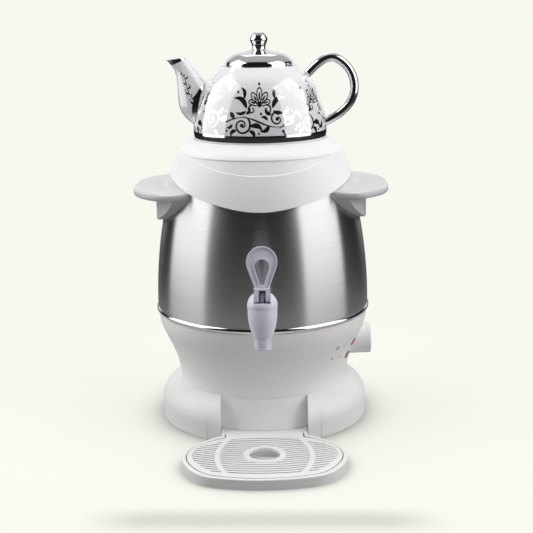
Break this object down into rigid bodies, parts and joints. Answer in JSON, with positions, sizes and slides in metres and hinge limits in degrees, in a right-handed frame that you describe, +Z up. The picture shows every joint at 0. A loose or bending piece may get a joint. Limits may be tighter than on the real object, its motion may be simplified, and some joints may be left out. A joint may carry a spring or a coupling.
{
  "type": "electric tea samovar",
  "caption": "Electric tea samovar: steel water tank on a white base, lever tap over a drip tray, wing handles and a porcelain teapot on a lift-off collar.",
  "frame": {"origin": "on the tank's vertical axis, at the level of the surface the samovar stands on, 1 mm under the base's bottom rim", "axes": "+Z up along the tank's axis, -Y towards the tap and drip tray, +X towards the thermostat knob; the teapot's spout points to -X"},
  "size_m": [0.2712, 0.3391, 0.4148],
  "materials": {
    "aluminium": "die cast, plain",
    "black_plastic": "black heat-resistant moulding",
    "brushed_steel": "brushed horizontally round the tank",
    "handle_plastic": "cool white moulded, satin gloss",
    "housing_plastic": "warm white moulded, satin gloss",
    "lens_plastic": "red translucent lens",
    "neon_glass": "neon bulb",
    "polished_steel": "polished bead",
    "porcelain": "white glaze with silver ornament",
    "rubber": "black rubber",
    "silicone": "translucent white silicone",
    "silvered": "silver lustre glaze",
    "spring_steel": "stainless spring wire",
    "tap_plastic": "white moulded, glossy",
    "white_plastic": "bright white moulded, satin gloss",
    "zinc_steel": "zinc-plated"
  },
  "bodies": {
    "housing": {"base_housing": "white_plastic", "base_cover": "housing_plastic", "base_screws": "zinc_steel", "rubber_feet": "rubber", "cord_gland": "rubber", "terminal_block": "black_plastic", "lower_housing": "housing_plastic", "housing_screws": "zinc_steel", "lamp_lens_heating": "lens_plastic", "lamp_lens_keep_warm": "lens_plastic", "lamp_bulbs": "neon_glass", "thermostat": "zinc_steel", "trim_ring": "polished_steel", "tank_wall": "brushed_steel", "tank_floor": "brushed_steel", "heat_plate": "aluminium", "heating_element": "zinc_steel", "thermal_cutout": "zinc_steel", "sensor_bulb": "zinc_steel", "sensor_clip": "spring_steel", "tie_rod": "zinc_steel", "tie_strap": "zinc_steel", "strap_screws": "zinc_steel", "tie_nut": "zinc_steel", "right_handle": "handle_plastic", "left_handle": "handle_plastic", "handle_screws": "zinc_steel", "handle_washers": "silicone", "tap_body": "tap_plastic", "tap_bonnet": "tap_plastic", "tap_spring": "spring_steel", "tap_outer_gasket": "silicone", "tap_inner_gasket": "silicone", "tap_nut": "tap_plastic"},
    "collar": {"collar": "white_plastic"},
    "teapot_pot": {"teapot": "porcelain"},
    "pot_lid": {"teapot_lid": "silvered"},
    "knob": {"thermostat_knob": "white_plastic", "thermostat_shaft": "zinc_steel"},
    "valve": {"tap_stem": "tap_plastic", "tap_seal": "silicone", "tap_pin": "spring_steel"},
    "lever": {"tap_lever": "tap_plastic"},
    "tray": {"drip_tray": "white_plastic"},
    "grille": {"drip_grille": "white_plastic"}
  },
  "joints": [
    {"name": "collar_lift", "type": "slide", "parent": "housing", "child": "collar", "axis": [0, 0, 1], "range_m": [0, 0.06]},
    {"name": "teapot_lift", "type": "slide", "parent": "collar", "child": "teapot_pot", "axis": [0, 0, 1], "range_m": [0, 0.1]},
    {"name": "lid_lift", "type": "slide", "parent": "teapot_pot", "child": "pot_lid", "axis": [0, 0, 1], "range_m": [0, 0.05]},
    {"name": "knob_turn", "type": "hinge", "parent": "housing", "child": "knob", "pos_m": [0.094, 0, 0.0804], "axis": [-1, 0, 0], "range_deg": [0, 270]},
    {"name": "tap_stem_lift", "type": "slide", "parent": "housing", "child": "valve", "axis": [0, 0.1392, 0.9903], "range_m": [0, 0.00346], "stiffness_N_per_m": 600, "springref_m": -0.004, "deforming": ["tap_spring"]},
    {"name": "tap_lever_turn", "type": "hinge", "parent": "valve", "child": "lever", "pos_m": [0, -0.14776, 0.16879], "axis": [1, 0, 0], "range_deg": [0, 90]},
    {"name": "tray_slide", "type": "slide", "parent": "housing", "child": "tray", "axis": [0, -1, 0], "range_m": [0, 0.08]},
    {"name": "grille_lift", "type": "slide", "parent": "tray", "child": "grille", "axis": [0, 0, 1], "range_m": [0, 0.03]}
  ],
  "couplings": [
    {"joint": "tap_lever_turn", "follows": "tap_stem_lift", "rad_per_m": 454.55}
  ]
}
